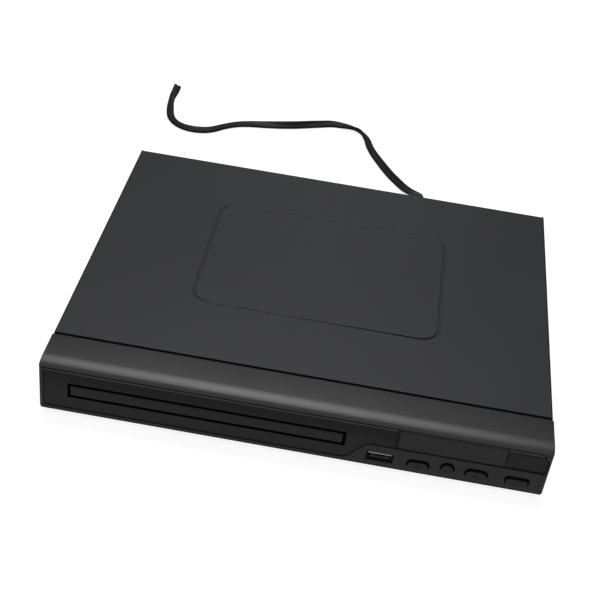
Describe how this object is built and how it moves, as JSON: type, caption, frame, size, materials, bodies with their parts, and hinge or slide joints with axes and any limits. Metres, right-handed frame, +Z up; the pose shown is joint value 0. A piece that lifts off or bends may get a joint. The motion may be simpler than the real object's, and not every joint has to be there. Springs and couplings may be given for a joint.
{
  "type": "dvd player with tray",
  "caption": "Slim black disc player with a motorised loading tray, front keys, display window, USB socket, rear sound and picture sockets and a flat mains lead.",
  "frame": {"origin": "on the surface that the feet stand on, under the middle of the player without its mains lead", "axes": "+X to the right as seen from the front, +Y from the front to the rear, +Z up"},
  "size_m": [0.2821, 0.3787, 0.035],
  "materials": {
    "black_painted_steel": "satin powder coat",
    "zinc_plated_steel": "dull zinc plating",
    "screw_steel": "plated",
    "bezel_plastic": "satin moulded",
    "panel_plastic": "satin moulded",
    "smoked_window": "polished",
    "rubber_black": "matt",
    "lead_sheath": "satin",
    "loader_plastic": "satin moulded",
    "natural_acetal": "satin moulded",
    "motor_can": "plated",
    "ground_steel": "ground",
    "socket_shell": "nickel plated",
    "contact_gold": "gold plated",
    "black_moulding": "moulded",
    "green_board": "solder mask",
    "paper_board": "bare laminate",
    "capacitor_sleeve": "heat-shrunk sleeve",
    "transformer_tape": "taped winding",
    "fuse_glass": "clear",
    "lens_glass": "coated",
    "ribbon_white": "film",
    "wire_red": "insulation"
  },
  "bodies": {
    "player": {"top_cover": "black_painted_steel", "bottom_chassis": "zinc_plated_steel", "front_bezel": "bezel_plastic", "front_panel": "panel_plastic", "display_window": "smoked_window", "ir_window": "smoked_window", "rubber_feet": "rubber_black", "cover_screws": "black_painted_steel", "bezel_screws": "screw_steel", "usb_shell": "socket_shell", "usb_tongue": "black_moulding", "usb_contacts": "contact_gold", "front_board": "green_board", "key_switches": "black_moulding", "display_module": "black_moulding", "ir_receiver": "black_moulding", "loader_frame": "loader_plastic", "loader_screws": "screw_steel", "loading_motor": "motor_can", "drive_belt": "rubber_black", "tray_switch": "black_moulding", "clamp_bridge": "zinc_plated_steel", "main_board": "green_board", "decoder_chip": "black_moulding", "board_capacitors": "capacitor_sleeve", "board_connectors": "natural_acetal", "av_board": "green_board", "power_board": "paper_board", "board_screws": "screw_steel", "transformer": "transformer_tape", "fuse": "fuse_glass", "rca_housing": "black_moulding", "rca_shells": "socket_shell", "hdmi_socket": "socket_shell", "ribbon_cables": "ribbon_white", "supply_wires": "wire_red", "strain_relief": "lead_sheath", "power_cord": "lead_sheath"},
    "tray": {"disc_tray": "loader_plastic", "tray_flap": "panel_plastic"},
    "tray_gear": {"tray_gear": "natural_acetal"},
    "pulley_gear": {"pulley_gear": "natural_acetal"},
    "motor_pulley": {"motor_pulley": "natural_acetal"},
    "traverse": {"traverse_plate": "zinc_plated_steel", "lift_frame": "loader_plastic", "rubber_grommets": "rubber_black", "grommet_screws": "screw_steel", "spindle_motor": "motor_can", "guide_rods": "ground_steel", "sled_motor": "motor_can"},
    "lift_slider": {"lift_slider": "natural_acetal"},
    "turntable": {"turntable": "loader_plastic"},
    "clamp_puck": {"clamp_puck": "loader_plastic"},
    "sled": {"pickup_sled": "loader_plastic", "pickup_lens": "lens_glass"},
    "lead_screw": {"lead_screw": "ground_steel"},
    "eject_button": {"eject_button": "bezel_plastic"},
    "play_button": {"play_button": "bezel_plastic"},
    "stop_button": {"stop_button": "bezel_plastic"},
    "power_button": {"power_button": "bezel_plastic"}
  },
  "joints": [
    {"name": "tray_slide", "type": "slide", "parent": "player", "child": "tray", "axis": [0, -1, 0], "range_m": [0, 0.137]},
    {"name": "tray_gear_spin", "type": "hinge", "parent": "player", "child": "tray_gear", "pos_m": [-0.0985, -0.093, 0.01], "axis": [0, 0, 1], "continuous": true},
    {"name": "pulley_gear_spin", "type": "hinge", "parent": "player", "child": "pulley_gear", "pos_m": [-0.0817, -0.093, 0.008], "axis": [0, 0, 1], "continuous": true},
    {"name": "motor_pulley_spin", "type": "hinge", "parent": "player", "child": "motor_pulley", "pos_m": [-0.038, -0.095, 0.008], "axis": [0, 0, 1], "continuous": true},
    {"name": "traverse_tilt", "type": "hinge", "parent": "player", "child": "traverse", "pos_m": [-0.04565, 0.046, 0.011], "axis": [1, 0, 0], "range_deg": [0, 2.2]},
    {"name": "lift_slider_slide", "type": "slide", "parent": "player", "child": "lift_slider", "axis": [1, 0, 0], "range_m": [0, 0.0201]},
    {"name": "turntable_spin", "type": "hinge", "parent": "traverse", "child": "turntable", "pos_m": [-0.04565, -0.041, 0.017], "axis": [0, 0, 1], "continuous": true},
    {"name": "clamp_puck_spin", "type": "hinge", "parent": "player", "child": "clamp_puck", "pos_m": [-0.04565, -0.041, 0.025], "axis": [0, 0, 1], "continuous": true},
    {"name": "sled_slide", "type": "slide", "parent": "traverse", "child": "sled", "axis": [0, 1, 0], "range_m": [0, 0.035]},
    {"name": "lead_screw_spin", "type": "hinge", "parent": "traverse", "child": "lead_screw", "pos_m": [-0.01615, 0, 0.0122], "axis": [0, 1, 0], "continuous": true},
    {"name": "eject_button_press", "type": "slide", "parent": "player", "child": "eject_button", "axis": [0, 1, 0], "range_m": [0, 0.0008], "stiffness_N_per_m": 800},
    {"name": "play_button_press", "type": "slide", "parent": "player", "child": "play_button", "axis": [0, 1, 0], "range_m": [0, 0.0008], "stiffness_N_per_m": 800},
    {"name": "stop_button_press", "type": "slide", "parent": "player", "child": "stop_button", "axis": [0, 1, 0], "range_m": [0, 0.0008], "stiffness_N_per_m": 800},
    {"name": "power_button_press", "type": "slide", "parent": "player", "child": "power_button", "axis": [0, 1, 0], "range_m": [0, 0.0008], "stiffness_N_per_m": 800}
  ],
  "couplings": [
    {"joint": "tray_gear_spin", "follows": "tray_slide", "rad_per_m": 125},
    {"joint": "pulley_gear_spin", "follows": "tray_slide", "rad_per_m": -312.5},
    {"joint": "motor_pulley_spin", "follows": "tray_slide", "rad_per_m": -1102.9},
    {"joint": "lift_slider_slide", "follows": "traverse_tilt", "m_per_rad": 0.52087},
    {"joint": "clamp_puck_spin", "follows": "turntable_spin", "ratio": 1},
    {"joint": "lead_screw_spin", "follows": "sled_slide", "rad_per_m": 2992}
  ]
}
